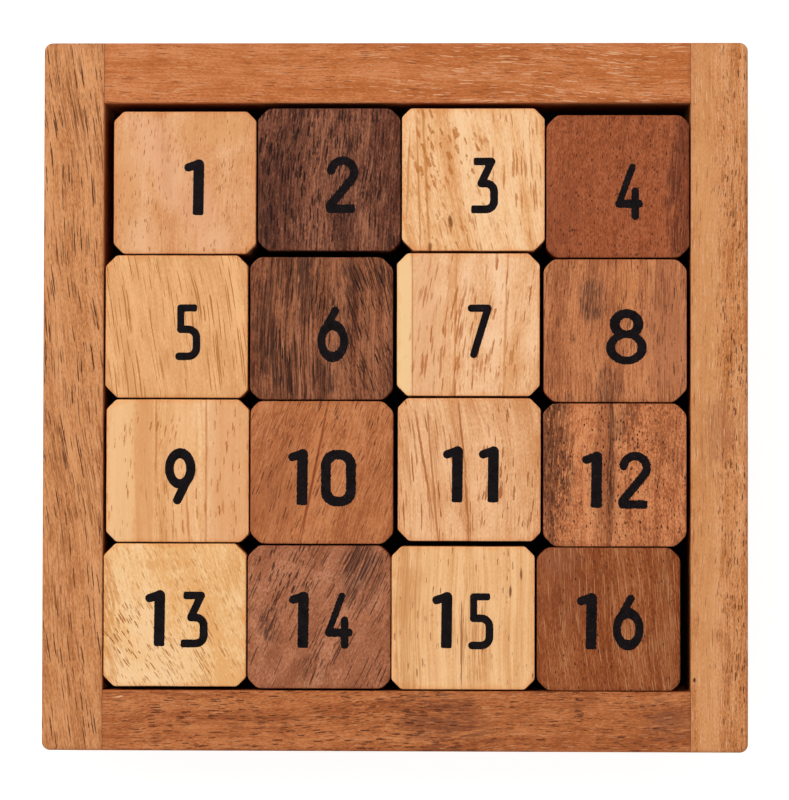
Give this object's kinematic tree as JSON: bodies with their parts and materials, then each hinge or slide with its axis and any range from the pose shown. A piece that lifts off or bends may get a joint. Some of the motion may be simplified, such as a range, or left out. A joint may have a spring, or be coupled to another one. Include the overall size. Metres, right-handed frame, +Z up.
{
  "type": "sliding tile puzzle",
  "caption": "Square wooden tray filled with chamfered, numbered hardwood tiles that lift out and slide past each other.",
  "frame": {"origin": "centre of the tray's underside", "axes": "+Z up out of the tray, +Y towards the row of tiles one to four, +X towards the column of tiles four, eight, twelve and sixteen"},
  "size_m": [0.125, 0.1256, 0.022],
  "materials": {
    "left_stile_wood": "satin",
    "right_stile_wood": "satin",
    "top_rail_wood": "satin",
    "bottom_rail_wood": "satin",
    "plywood": "satin",
    "bright_steel": "brushed",
    "tile_01_wood": "satin",
    "tile_02_wood": "satin",
    "tile_03_wood": "satin",
    "tile_04_wood": "satin",
    "tile_05_wood": "satin",
    "tile_06_wood": "satin",
    "tile_07_wood": "satin",
    "tile_08_wood": "satin",
    "tile_09_wood": "satin",
    "tile_10_wood": "satin",
    "tile_11_wood": "satin",
    "tile_12_wood": "satin",
    "tile_13_wood": "satin",
    "tile_14_wood": "satin",
    "tile_15_wood": "satin",
    "tile_16_wood": "satin",
    "numeral_paint": "matte"
  },
  "bodies": {
    "tray": {"left_stile": "left_stile_wood", "right_stile": "right_stile_wood", "top_rail": "top_rail_wood", "bottom_rail": "bottom_rail_wood", "base_panel": "plywood", "frame_brads": "bright_steel", "panel_pins": "bright_steel"},
    "tile_01_body": {"tile_01": "tile_01_wood", "numeral_01": "numeral_paint"},
    "tile_02_body": {"tile_02": "tile_02_wood", "numeral_02": "numeral_paint"},
    "tile_03_body": {"tile_03": "tile_03_wood", "numeral_03": "numeral_paint"},
    "tile_04_body": {"tile_04": "tile_04_wood", "numeral_04": "numeral_paint"},
    "tile_05_body": {"tile_05": "tile_05_wood", "numeral_05": "numeral_paint"},
    "tile_06_body": {"tile_06": "tile_06_wood", "numeral_06": "numeral_paint"},
    "tile_07_body": {"tile_07": "tile_07_wood", "numeral_07": "numeral_paint"},
    "tile_08_body": {"tile_08": "tile_08_wood", "numeral_08": "numeral_paint"},
    "tile_09_body": {"tile_09": "tile_09_wood", "numeral_09": "numeral_paint"},
    "tile_10_body": {"tile_10": "tile_10_wood", "numeral_10": "numeral_paint"},
    "tile_11_body": {"tile_11": "tile_11_wood", "numeral_11": "numeral_paint"},
    "tile_12_body": {"tile_12": "tile_12_wood", "numeral_12": "numeral_paint"},
    "tile_13_body": {"tile_13": "tile_13_wood", "numeral_13": "numeral_paint"},
    "tile_14_body": {"tile_14": "tile_14_wood", "numeral_14": "numeral_paint"},
    "tile_15_body": {"tile_15": "tile_15_wood", "numeral_15": "numeral_paint"},
    "tile_16_body": {"tile_16": "tile_16_wood", "numeral_16": "numeral_paint"}
  },
  "joints": [
    {"name": "tile_01_lift", "type": "slide", "parent": "tray", "child": "tile_01_body", "axis": [0, 0, 1], "range_m": [0, 0.025]},
    {"name": "tile_02_lift", "type": "slide", "parent": "tray", "child": "tile_02_body", "axis": [0, 0, 1], "range_m": [0, 0.025]},
    {"name": "tile_03_lift", "type": "slide", "parent": "tray", "child": "tile_03_body", "axis": [0, 0, 1], "range_m": [0, 0.025]},
    {"name": "tile_04_lift", "type": "slide", "parent": "tray", "child": "tile_04_body", "axis": [0, 0, 1], "range_m": [0, 0.025]},
    {"name": "tile_05_lift", "type": "slide", "parent": "tray", "child": "tile_05_body", "axis": [0, 0, 1], "range_m": [0, 0.025]},
    {"name": "tile_06_lift", "type": "slide", "parent": "tray", "child": "tile_06_body", "axis": [0, 0, 1], "range_m": [0, 0.025]},
    {"name": "tile_07_lift", "type": "slide", "parent": "tray", "child": "tile_07_body", "axis": [0, 0, 1], "range_m": [0, 0.025]},
    {"name": "tile_08_lift", "type": "slide", "parent": "tray", "child": "tile_08_body", "axis": [0, 0, 1], "range_m": [0, 0.025]},
    {"name": "tile_09_lift", "type": "slide", "parent": "tray", "child": "tile_09_body", "axis": [0, 0, 1], "range_m": [0, 0.025]},
    {"name": "tile_10_lift", "type": "slide", "parent": "tray", "child": "tile_10_body", "axis": [0, 0, 1], "range_m": [0, 0.025]},
    {"name": "tile_11_lift", "type": "slide", "parent": "tray", "child": "tile_11_body", "axis": [0, 0, 1], "range_m": [0, 0.025]},
    {"name": "tile_12_lift", "type": "slide", "parent": "tray", "child": "tile_12_body", "axis": [0, 0, 1], "range_m": [0, 0.025]},
    {"name": "tile_13_lift", "type": "slide", "parent": "tray", "child": "tile_13_body", "axis": [0, 0, 1], "range_m": [0, 0.025]},
    {"name": "tile_14_lift", "type": "slide", "parent": "tray", "child": "tile_14_body", "axis": [0, 0, 1], "range_m": [0, 0.025]},
    {"name": "tile_15_lift", "type": "slide", "parent": "tray", "child": "tile_15_body", "axis": [0, 0, 1], "range_m": [0, 0.025]},
    {"name": "tile_16_lift", "type": "slide", "parent": "tray", "child": "tile_16_body", "axis": [0, 0, 1], "range_m": [0, 0.025]}
  ]
}
